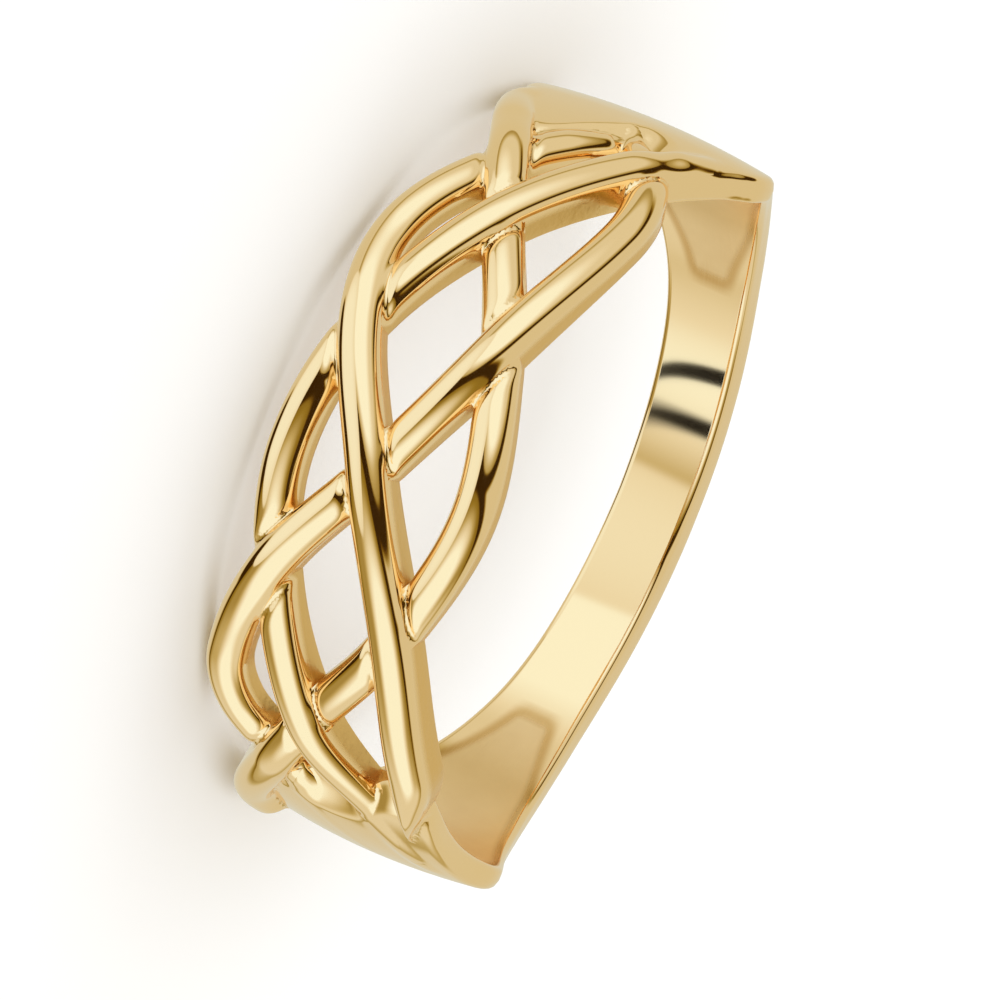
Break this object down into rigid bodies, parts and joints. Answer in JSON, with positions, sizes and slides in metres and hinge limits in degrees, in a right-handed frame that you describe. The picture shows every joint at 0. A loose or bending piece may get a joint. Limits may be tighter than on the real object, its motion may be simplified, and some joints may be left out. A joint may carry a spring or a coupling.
{
  "type": "braided band ring",
  "caption": "Plain gold finger ring whose front opens into a pierced braid of round strands between two wide shoulders, narrowing to a slim shank.",
  "frame": {"origin": "middle of the finger bore, on its axis", "axes": "+Z along the finger bore, -Y through the middle of the braid; the ring lies on its side"},
  "size_m": [0.019, 0.0194, 0.0068],
  "materials": {
    "yellow_gold": "polished yellow gold, satin where the bore widens behind the shoulders"
  },
  "bodies": {
    "root": {"ring": "yellow_gold"}
  },
  "joints": []
}
